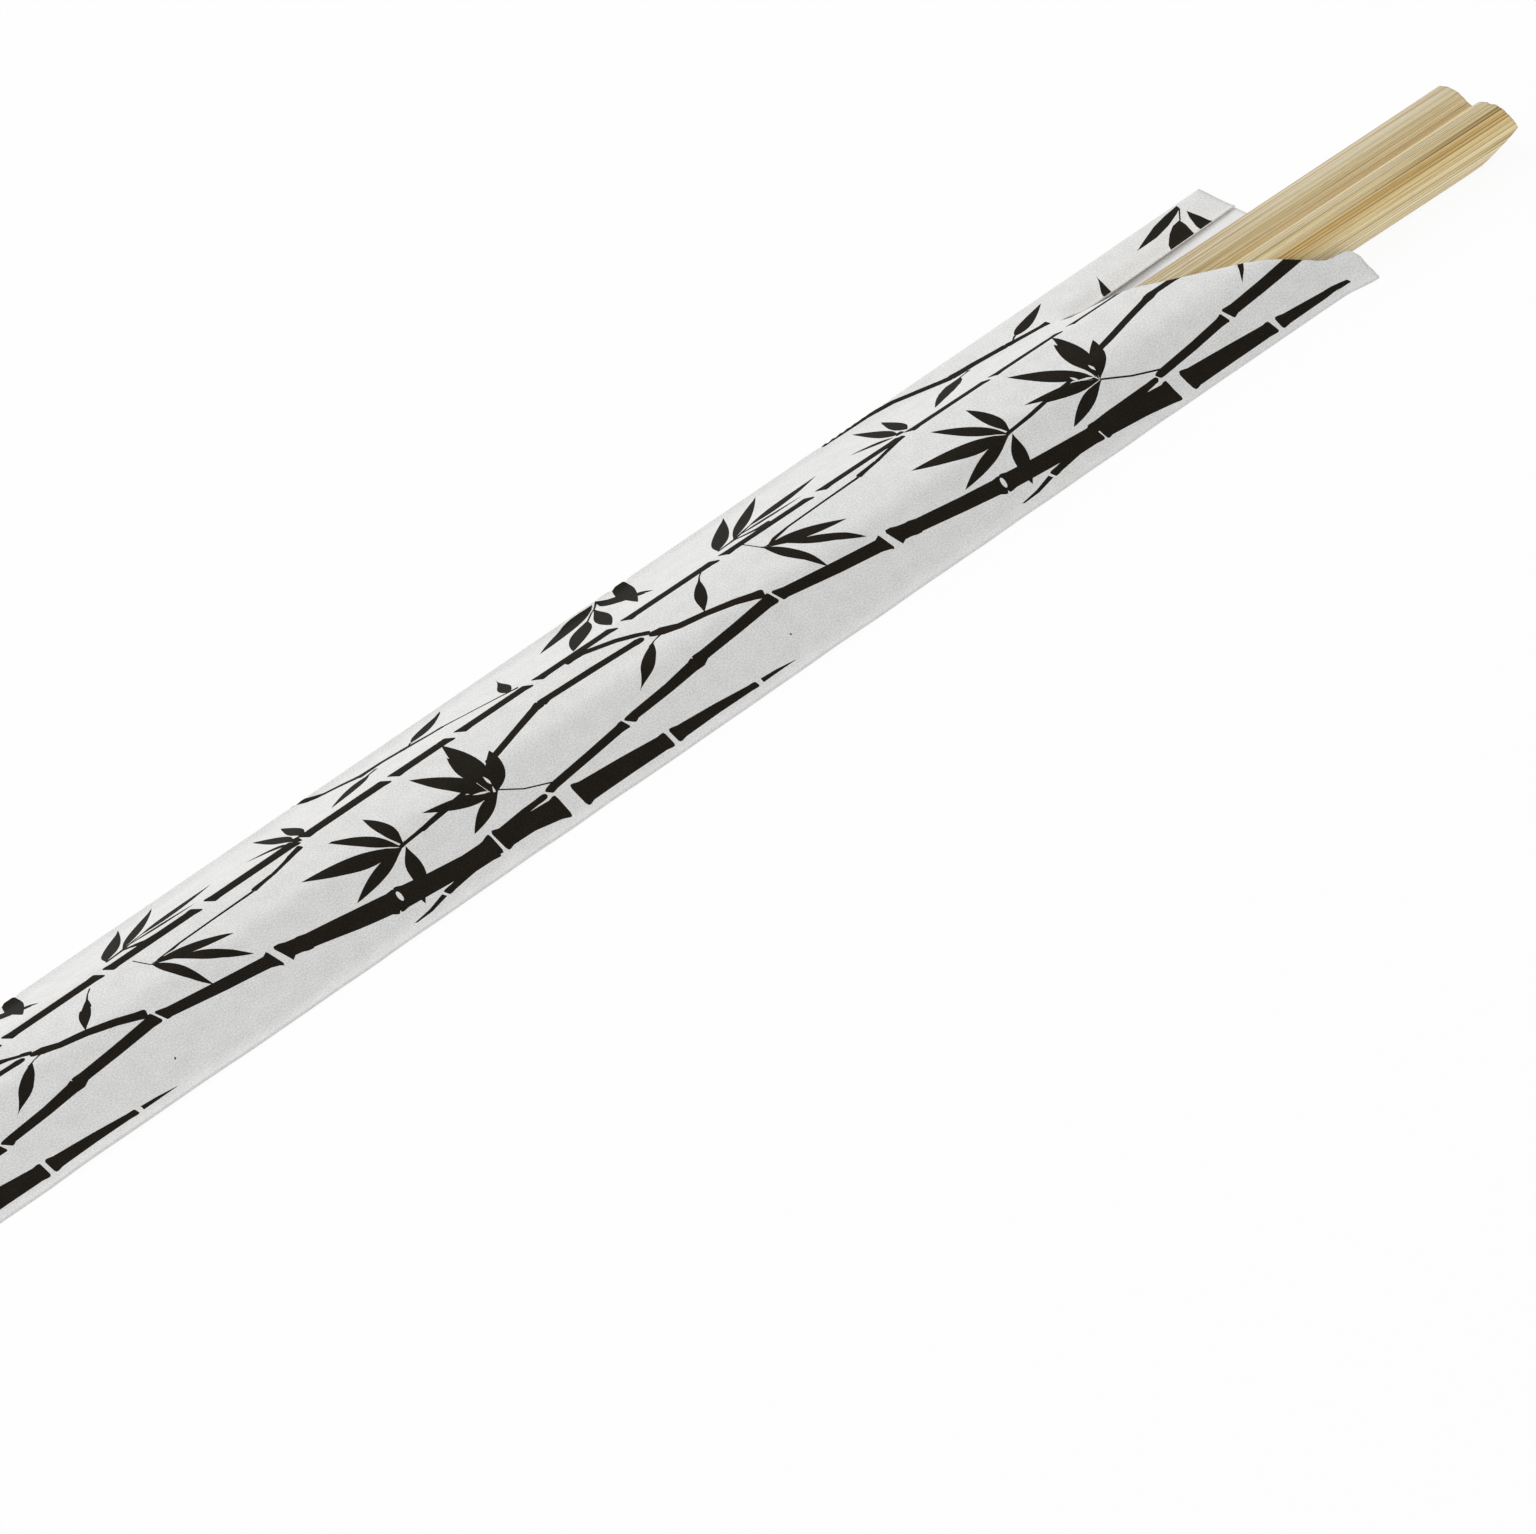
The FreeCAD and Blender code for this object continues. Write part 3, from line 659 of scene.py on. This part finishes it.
class Shader:
    """A material and short calls for its nodes."""

    def __init__(self, name):
        self.material = bpy.data.materials.new(name)
        self.material.use_nodes = True
        self.nodes = self.material.node_tree.nodes
        self.links = self.material.node_tree.links
        self.main = self.nodes["Principled BSDF"]

    def node(self, kind, **values):
        made = self.nodes.new(kind)
        for key, value in values.items():
            if key in made.inputs:
                made.inputs[key].default_value = value
            else:
                setattr(made, key, value)
        return made

    def link(self, source, target):
        self.links.new(source, target)

    def mapped(self, scale, offset=(0.0, 0.0, 0.0)):
        place = self.node("ShaderNodeTexCoord")
        mapping = self.node("ShaderNodeMapping")
        mapping.inputs["Scale"].default_value = scale
        mapping.inputs["Location"].default_value = offset
        self.link(place.outputs["UV"], mapping.inputs["Vector"])
        return mapping.outputs["Vector"]

    def noise(self, vector, scale, detail, roughness=0.55):
        made = self.node("ShaderNodeTexNoise", Scale=scale, Detail=detail, Roughness=roughness)
        self.link(vector, made.inputs["Vector"])
        return made.outputs["Fac"]

    def ramp(self, factor, stops):
        made = self.node("ShaderNodeValToRGB")
        elements = made.color_ramp.elements
        for index, (position, colour) in enumerate(stops):
            if index < 2:
                element = elements[index]
                element.position = position
            else:
                element = elements.new(position)
            element.color = (*colour, 1.0)
        self.link(factor, made.inputs["Fac"])
        return made.outputs["Color"]

    def mix(self, factor, a, b, blend="MIX"):
        made = self.node("ShaderNodeMix", data_type="RGBA", blend_type=blend)
        made.inputs[0].default_value = factor
        self.link(a, made.inputs[6])
        self.link(b, made.inputs[7])
        return made.outputs[2]

    def bump(self, height, strength, distance, after=None):
        made = self.node("ShaderNodeBump", Strength=strength, Distance=distance)
        self.link(height, made.inputs["Height"])
        if after is not None:
            self.link(after, made.inputs["Normal"])
        return made.outputs["Normal"]


def srgb(r, g, b):
    """Linear colour from screen values 0 to 255."""
    return tuple(((c / 255.0 + 0.055) / 1.055) ** 2.4 if c > 10 else c / 255.0 / 12.92 for c in (r, g, b))


def paper_material(name, low, high, roughness, ink=False):
    """Thin paper, bare or inked: a fine grain between two tones, with short fibres and soft dents."""
    shader = Shader(name)
    place = shader.mapped((1.0, 1.0, 1.0))
    grain = shader.noise(place, 55.0, 3.0, 0.7)
    cloud = shader.noise(place, 5.0, 2.0, 0.5)
    mottled = shader.mix(0.15, grain, cloud)
    colour = shader.ramp(mottled, [(0.34, low), (0.66, high)])
    shader.link(colour, shader.main.inputs["Base Color"])
    shader.main.inputs["Roughness"].default_value = roughness
    shader.main.inputs["Specular IOR Level"].default_value = 0.1 if ink else 0.3
    fibres = shader.noise(place, 140.0, 4.0, 0.6)
    normal = shader.bump(fibres, 0.25 if ink else 0.35, 0.00003)
    soft = shader.noise(place, 12.0, 3.0, 0.55)
    normal = shader.bump(soft, 0.25, 0.0002, normal)
    shader.link(normal, shader.main.inputs["Normal"])
    return shader.material


def paper_sleeve():
    """The folded sheet, with its print, over the sticks."""
    points, triangles, inked = sheet_triangles()
    x, t = points[:, 0], points[:, 1]
    yz = on_sheet(x, t)
    dx, dy, dz = paper_play(x, t)
    vertices = np.stack([x + dx, yz[:, 0] + dy, np.maximum(yz[:, 1] + dz, 0.0)], 1) * MM
    vertices[:, 0] += MOUTH_X
    a, b, c = points[triangles[:, 0]], points[triangles[:, 1]], points[triangles[:, 2]]
    area = (b[:, 0] - a[:, 0]) * (c[:, 1] - a[:, 1]) - (c[:, 0] - a[:, 0]) * (b[:, 1] - a[:, 1])
    turned_in = area > 0.0
    triangles[turned_in] = triangles[turned_in][:, ::-1]
    outside = paper_material("sleeve_paper", srgb(206, 206, 205), srgb(246, 246, 245), 0.6)
    ink = paper_material("sleeve_ink", srgb(14, 11, 6), srgb(40, 35, 27), 0.8, True)
    # The inside is the paper again with painted light: lighter and faintly blue, for light that comes
    # through the thin sheet
    inside_painted_light = paper_material("sleeve_paper_inside_painted_light", srgb(228, 229, 232), srgb(244, 245, 247), 0.7)
    materials = [outside, ink, inside_painted_light, inside_painted_light]
    obj = new_mesh("printed_sleeve", vertices, triangles, materials, inked.astype(int), points / MM_PER_UV)
    thick = obj.modifiers.new("thickness", "SOLIDIFY")
    thick.thickness = PAPER * MM
    thick.offset = -1.0
    # The inner face and the rim of outside and of ink are both the bare inside, which is painted light:
    # lighter and faintly blue, for the light that comes through the thin sheet
    thick.material_offset = 2
    thick.material_offset_rim = 2
    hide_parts("paper_sleeve")
    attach(obj, "root")
    return obj


# The bamboo: both sticks as one lofted skin with a fibrous surface. Its section has the solids' corners,
# and between them corners that ease the side, the bevel, the back of each stick and the groove's edge.
SIDE_EASE, SIDE_EASE_HEIGHT = 0.18, 1.2
BEVEL_EASE, BEVEL_EASE_HEIGHT = 0.22, 0.55
BACK_EASE, BACK_EASE_DROP = 0.9, 0.03
LIP_EASE, LIP_EASE_DROP = 0.4, 0.12
SECTION_STEPS = [6, 7, 3, 5, 3, 5, 7, 6, 3, 9]


def half_section(width, thickness):
    """(y, z) from the foot of one side over the ridge to the groove's foot."""
    side = width / 2.0
    ridge = side - RIDGE_INSET
    bevel = side - BEVEL_INSET, thickness - BEVEL_HEIGHT
    return np.array([
        (side, FOOT_CHAMFER),
        (side - SIDE_EASE, FOOT_CHAMFER + SIDE_EASE_HEIGHT),
        bevel,
        (bevel[0] - BEVEL_EASE, bevel[1] + BEVEL_EASE_HEIGHT),
        (ridge + RIDGE_EASE / 2.0, thickness - RIDGE_DROP - RIDGE_EASE),
        (ridge - RIDGE_EASE, thickness - RIDGE_DROP + RIDGE_EASE / 4.0),
        (ridge - BACK_EASE, thickness - BACK_EASE_DROP),
        ((ridge + GROOVE_HALF_WIDTH) / 2.0, thickness),
        (GROOVE_HALF_WIDTH + LIP_EASE, thickness - LIP_EASE_DROP),
        (GROOVE_HALF_WIDTH, thickness - GROOVE_EDGE_DROP),
        (0.0, thickness - GROOVE_DEPTH),
    ])


def top_line(width, thickness):
    """The skin's (y, z) over both sticks, from the far foot to the near foot."""
    corners = half_section(width, thickness)
    dense = [corners[:1]]
    for index, steps in enumerate(SECTION_STEPS):
        share = np.arange(1, steps + 1)[:, None] / steps
        dense.append(corners[index] + share * (corners[index + 1] - corners[index]))
    half = np.concatenate(dense)
    return np.concatenate([half, half[-2::-1] * (-1.0, 1.0)])


def under_line(width, ys):
    """z of the underside at ys, with its chamfers and its groove."""
    side = width / 2.0
    chamfer = np.maximum(0.0, np.abs(ys) - (side - FOOT_CHAMFER))
    groove = np.maximum(0.0, UNDER_GROOVE_DEPTH * (1.0 - np.abs(ys) / UNDER_GROOVE_HALF_WIDTH))
    return chamfer + groove


# How much the upper edge of the head is worn back, by its place across, and the roughness of the cut
WORN_Y = [-5.0, -4.4, -3.8, -2.8, -1.6, -0.7, 0.5, 1.5, 2.5, 3.5, 5.0]
WORN_X = [0.0, 0.1, 0.3, 0.5, 0.55, 0.7, 0.3, 0.15, 0.1, 0.25, 0.6]
WORN_HEIGHT = 2.0
FRAY, SPLITS = 0.02, 0.04
FIBRE_RELIEF, WARP_RELIEF, RELIEF_SHARE = 0.022, 0.02, 0.7


def head_end(y, z):
    """x where the head cut ends the skin at (y, z), a little worn along its upper edge."""
    x = PROTRUSION - y * math.tan(math.radians(HEAD_CUT_ANGLE))
    x = x - NOSE_LEAN * np.maximum(0.0, z - NOSE_HEIGHT)
    below = np.maximum(0.0, 1.0 - z / NOSE_HEIGHT)
    bulge = 4.0 * NOSE_BEVEL_BULGE * below * (1.0 - below) * NOSE_BEVEL_LENGTH / NOSE_HEIGHT
    x = x - NOSE_BEVEL_LENGTH * below + bulge
    return x - np.interp(y, WORN_Y, WORN_X) * smooth(z, NOSE_HEIGHT, NOSE_HEIGHT + WORN_HEIGHT)


def tip_end(z, thickness):
    """x where the tips' bevelled cut ends the skin at z."""
    x = np.full_like(z, TIPS_X)
    x = x + np.maximum(0.0, TIP_BEVEL - z)
    return x + np.maximum(0.0, z - (thickness - TIP_BEVEL))


def in_sleeve(points):
    """Places in the frame, in metres, for places on the pair, which lies askew in the sleeve."""
    c, s = math.cos(SKEW), math.sin(SKEW)
    x, y, z = points.T
    placed = MM * np.stack([x * c + y * s, y * c - x * s + MOUTH_OFFSET, z], 1)
    placed[:, 0] += MOUTH_X
    return placed


def cut_slit(obj):
    """The saw cut between the sticks, from the web behind the head to the tips."""
    welded = bmesh.new()
    welded.from_mesh(obj.data)
    bmesh.ops.remove_doubles(welded, verts=welded.verts, dist=1e-6)
    bmesh.ops.recalc_face_normals(welded, faces=welded.faces)
    welded.to_mesh(obj.data)
    welded.free()
    start, end, side = TIPS_X - 2.0, PROTRUSION - WEB_LENGTH, SLIT_WIDTH / 2.0
    corners = [
        (x, y, z)
        for z in (-1.0, 8.0)
        for x, y in ((start, -side), (end, -side), (end, side), (start, side))
    ]
    corners = in_sleeve(np.array(corners))
    sides = [(3, 2, 1, 0), (4, 5, 6, 7), (0, 1, 5, 4), (1, 2, 6, 5), (2, 3, 7, 6), (3, 0, 4, 7)]
    saw = new_mesh("saw", corners, sides, [])
    cut = obj.modifiers.new("slit", "BOOLEAN")
    cut.operation, cut.object, cut.solver = "DIFFERENCE", saw, "EXACT"
    made = obj.evaluated_get(bpy.context.evaluated_depsgraph_get())
    mesh = bpy.data.meshes.new_from_object(made)
    obj.modifiers.clear()
    obj.data = mesh
    bpy.data.objects.remove(saw)


def chopstick_pair():
    """Both sticks as one piece: skin, underside, slit and the two ends."""
    near_head = 0.90
    stations = np.concatenate([
        np.linspace(0.0, near_head, 90, endpoint=False),
        np.linspace(near_head, 1.0, 60),
    ])
    fibres = Waves(21, 0.9, 60.0, 20)
    warp = Waves(23, 4.0, 12.0)
    frayed = Waves(29, 0.8)
    splits = Waves(31, 0.3)
    vertices, uvs = [], []
    top_rows, under_rows = [], []
    sample = top_line(HEAD_WIDTH, HEAD_THICKNESS)
    count = len(sample)
    run = running_length(sample)
    # The skin and the underside share their vertices at both feet, so nothing may part them there
    at_foot = np.arange(count) % (count - 1) == 0

    def row(x, y, z, u, v):
        vertices.extend(np.stack([x, y, z], 1))
        uvs.extend(np.stack([u, v], 1) / MM_PER_UV)
        return len(vertices) - count + np.arange(count)

    def head_cut(y, z, share=1.0):
        return head_end(y, z) + FRAY * frayed(y, z) * share

    for s in stations:
        width, thickness = pair_size(TIPS_X + s * STICK_LENGTH)
        y, z = top_line(width, thickness).T
        share = smooth(s, near_head, 1.0)
        tip, head = tip_end(z, thickness), head_cut(y, z, share)
        x = tip + s * (head - tip)
        relief = FIBRE_RELIEF * fibres(x, run) + WARP_RELIEF * warp(x, run)
        z = z + np.where(at_foot, 0.0, relief) * smooth(z, 0.5, 1.2) * RELIEF_SHARE
        under = under_line(width, y)
        under_tip, under_head = tip_end(under, thickness), head_cut(y, under, share)
        under_x = under_tip + s * (under_head - under_tip)
        top_rows.append(row(x, y, z, x, run))
        under_rows.append(row(under_x, y, under, under_x, run + 25.0))

    faces, picks = [], []
    for top, top_ahead, under, under_ahead in zip(top_rows, top_rows[1:], under_rows, under_rows[1:]):
        for k in range(count - 1):
            faces.append((top[k], top[k + 1], top_ahead[k + 1], top_ahead[k]))
            faces.append((under[k + 1], under[k], under_ahead[k], under_ahead[k + 1]))
            picks += [0, 0]

    # The ends, each a grid from the underside up to the skin
    levels = 10
    for station, is_head in ((0, False), (len(stations) - 1, True)):
        grid = [under_rows[station]]
        y, top_z = np.array([vertices[i][1:] for i in top_rows[station]]).T
        under_z = np.array([vertices[i][2] for i in under_rows[station]])
        for level in range(1, levels):
            z = under_z + level / levels * (top_z - under_z)
            if is_head:
                x = head_cut(y, z) + np.where(at_foot, 0.0, SPLITS * splits(y, z))
            else:
                x = tip_end(z, TIP_THICKNESS)
            grid.append(row(x, y, z, z, y))
        grid.append(top_rows[station])
        for lower, upper in zip(grid[:-1], grid[1:]):
            for k in range(count - 1):
                quad = (lower[k], lower[k + 1], upper[k + 1], upper[k])
                faces.append(quad if is_head else quad[::-1])
                picks.append(1)

    places = in_sleeve(np.array(vertices) + (0.0, 0.0, STICK_FLOOR))
    materials = [bamboo_material(run[-1]), bamboo_end_material()]
    obj = new_mesh("bamboo_sticks", places, faces, materials, picks, uvs)
    cut_slit(obj)
    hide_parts("chopstick_pair")
    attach(obj, "root")
    return obj


# Tints around the section, from the far foot to the near foot, one to three for each face: the bamboo's own
# colour with each face's light and shade painted in
BAMBOO_TINTS_AND_PAINTED_SHADING = [(share, srgb(*tint_and_shading)) for share, tint_and_shading in (
    # The far stick: its side, its bevel and its back
    (0.0, (255, 251, 223)), (0.08, (255, 248, 212)),
    (0.18, (241, 215, 158)),
    (0.26, (222, 208, 180)), (0.33, (226, 216, 189)),
    # The groove
    (0.40, (235, 221, 184)), (0.50, (233, 213, 169)), (0.60, (239, 227, 191)),
    # The near stick: its back, its bevel and its side
    (0.66, (217, 204, 170)), (0.74, (232, 217, 176)),
    # Painted shade: the darker gold band on the near bevel, just under the near ridge
    (0.79, (225, 192, 124)),
    # Painted light: the near side, palest towards its foot
    (0.86, (250, 230, 178)), (0.93, (255, 242, 205)), (1.0, (255, 242, 208)),
)]


def bamboo_material(total):
    """Split bamboo: streaks along the fibres over tints with painted light and shade, across a section that
    is total mm around.
    """
    shader = Shader("bamboo")
    place = shader.node("ShaderNodeTexCoord").outputs["UV"]
    split = shader.node("ShaderNodeSeparateXYZ")
    shader.link(place, split.inputs["Vector"])
    wander = shader.noise(shader.mapped((0.25, 4.0, 1.0)), 1.0, 2.0)
    across = shader.node("ShaderNodeMath", operation="MULTIPLY_ADD")
    shader.link(split.outputs["Y"], across.inputs[0])
    # The tints' borders wander by up to 0.008 of the section to each side
    across.inputs[1].default_value = MM_PER_UV / total
    across.inputs[2].default_value = -0.008
    shifted = shader.node("ShaderNodeMath", operation="MULTIPLY_ADD")
    shader.link(wander, shifted.inputs[0])
    shifted.inputs[1].default_value = 0.016
    shader.link(across.outputs[0], shifted.inputs[2])
    # The tints around the section hold painted light and shade as well as the bamboo's colour
    tint_and_shading = shader.ramp(shifted.outputs[0], BAMBOO_TINTS_AND_PAINTED_SHADING)
    broad = shader.noise(shader.mapped((0.06, 16.0, 1.0)), 1.0, 3.0, 0.6)
    thin = shader.noise(shader.mapped((0.13, 62.0, 1.0), offset=(3.0, 5.0, 0.0)), 1.0, 2.0, 0.5)
    hairs = shader.noise(shader.mapped((0.3, 130.0, 1.0), offset=(1.0, 8.0, 0.0)), 1.0, 2.0, 0.6)
    flecks = shader.noise(shader.mapped((4.0, 70.0, 1.0), offset=(7.0, 2.0, 0.0)), 1.0, 3.0, 0.6)
    streaks = shader.ramp(thin, [
        (0.36, srgb(188, 173, 140)),
        (0.42, srgb(226, 217, 196)),
        (0.47, srgb(252, 250, 245)),
        (0.53, srgb(255, 255, 255)),
    ])
    hairlines = shader.ramp(hairs, [(0.36, srgb(192, 178, 146)), (0.47, srgb(255, 255, 255))])
    bands = shader.ramp(broad, [(0.35, srgb(238, 230, 212)), (0.55, srgb(255, 255, 255))])
    dots = shader.ramp(flecks, [(0.30, srgb(205, 196, 180)), (0.42, srgb(255, 255, 255))])
    colour = shader.mix(1.0, tint_and_shading, streaks, "MULTIPLY")
    colour = shader.mix(0.9, colour, hairlines, "MULTIPLY")
    colour = shader.mix(1.0, colour, bands, "MULTIPLY")
    colour = shader.mix(0.5, colour, dots, "MULTIPLY")
    shader.link(colour, shader.main.inputs["Base Color"])
    shader.main.inputs["Roughness"].default_value = 0.55
    shader.main.inputs["Specular IOR Level"].default_value = 0.35
    normal = shader.bump(thin, 0.6, 0.00006)
    normal = shader.bump(flecks, 0.3, 0.00003, normal)
    shader.link(normal, shader.main.inputs["Normal"])
    return shader.material


def bamboo_end_material():
    """The sawn end grain: pale, with darker bundles of fibres."""
    shader = Shader("bamboo_end_grain")
    bundles = shader.noise(shader.mapped((1.0, 1.0, 1.0)), 26.0, 3.0, 0.6)
    colour = shader.ramp(bundles, [
        (0.36, srgb(176, 146, 96)),
        (0.50, srgb(208, 184, 136)),
        (0.66, srgb(224, 206, 164)),
    ])
    shader.link(colour, shader.main.inputs["Base Color"])
    shader.main.inputs["Roughness"].default_value = 0.75
    normal = shader.bump(bundles, 0.6, 0.0001)
    shader.link(normal, shader.main.inputs["Normal"])
    return shader.material


def area_lamp(name, size, energy, place):
    """A rectangular lamp at place that shines at the origin."""
    light = bpy.data.lights.new(name, "AREA")
    light.shape = "RECTANGLE"
    light.size, light.size_y = size
    light.energy = energy
    lamp = bpy.data.objects.new(name, light)
    bpy.context.scene.collection.objects.link(lamp)
    lamp.location = place
    lamp.rotation_euler = (-Vector(place)).to_track_quat("-Z", "Y").to_euler()


def studio():
    """A pale floor that glows towards the camera, soft light from the far side and an even sky."""
    half, below, floor_grey, glow_share, sky_strength = 3.0, 0.00003, 0.90, 0.93, 0.70
    white = (1.0, 1.0, 1.0, 1.0)
    corners = [(-half, -half, 0.0), (half, -half, 0.0), (half, half, 0.0), (-half, half, 0.0)]
    shader = Shader("floor")
    shader.main.inputs["Base Color"].default_value = (floor_grey, floor_grey, floor_grey, 1.0)
    shader.main.inputs["Roughness"].default_value = 0.9
    shader.main.inputs["Specular IOR Level"].default_value = 0.0
    glow = shader.node("ShaderNodeEmission", Color=white, Strength=1.0)
    path = shader.node("ShaderNodeLightPath")
    share = shader.node("ShaderNodeMath", operation="MULTIPLY")
    shader.link(path.outputs["Is Camera Ray"], share.inputs[0])
    share.inputs[1].default_value = glow_share
    blend = shader.node("ShaderNodeMixShader")
    shader.link(share.outputs[0], blend.inputs[0])
    shader.link(shader.main.outputs[0], blend.inputs[1])
    shader.link(glow.outputs[0], blend.inputs[2])
    shader.link(blend.outputs[0], shader.nodes["Material Output"].inputs["Surface"])
    floor = new_mesh("floor", corners, [(0, 1, 2, 3)], [shader.material])
    floor.location.z = -below

    world = bpy.data.worlds.new("sky")
    bpy.context.scene.world = world
    world.use_nodes = True
    background = world.node_tree.nodes["Background"]
    background.inputs["Color"].default_value = white
    background.inputs["Strength"].default_value = sky_strength
    area_lamp("key", (1.6, 0.9), 10.5, (-0.25, 1.15, 0.95))
    area_lamp("fill", (1.4, 0.5), 0.9, (0.1, -1.3, 0.3))


def camera():
    """The photograph's long lens, given by the mouth's place in the picture."""
    azimuth, elevation, roll = math.radians(-36.605), math.radians(35.784), math.radians(-11.222)
    distance, pixels_per_mm = 1722.25, 10.257
    mouth_px = (1287.226, 232.726)
    width_px, height_px, sensor = 1536.0, 1534.0, 36.0
    focal_px = pixels_per_mm * distance
    back = Vector((
        math.sin(azimuth) * math.cos(elevation),
        -math.cos(azimuth) * math.cos(elevation),
        math.sin(elevation),
    ))
    right = (-back).cross(Vector((0.0, 0.0, 1.0))).normalized()
    up = right.cross(-back)
    c, s = math.cos(roll), math.sin(roll)
    right, up = right * c + up * s, up * c - right * s
    aside = (mouth_px[0] - width_px / 2.0) / focal_px * distance
    above = -(mouth_px[1] - height_px / 2.0) / focal_px * distance
    place = Vector((MOUTH_X, 0.0, 0.0)) + MM * (back * distance - right * aside - up * above)
    data = bpy.data.cameras.new("camera")
    data.sensor_width = sensor
    data.lens = focal_px * sensor / width_px
    obj = bpy.data.objects.new("camera", data)
    bpy.context.scene.collection.objects.link(obj)
    turn = Matrix((right, up, back)).transposed()
    obj.matrix_world = Matrix.Translation(place) @ turn.to_4x4()
    bpy.context.scene.camera = obj
    bpy.context.scene.view_settings.view_transform = "Standard"


camera()
studio()
paper_sleeve()
chopstick_pair()

bpy.context.view_layer.update()
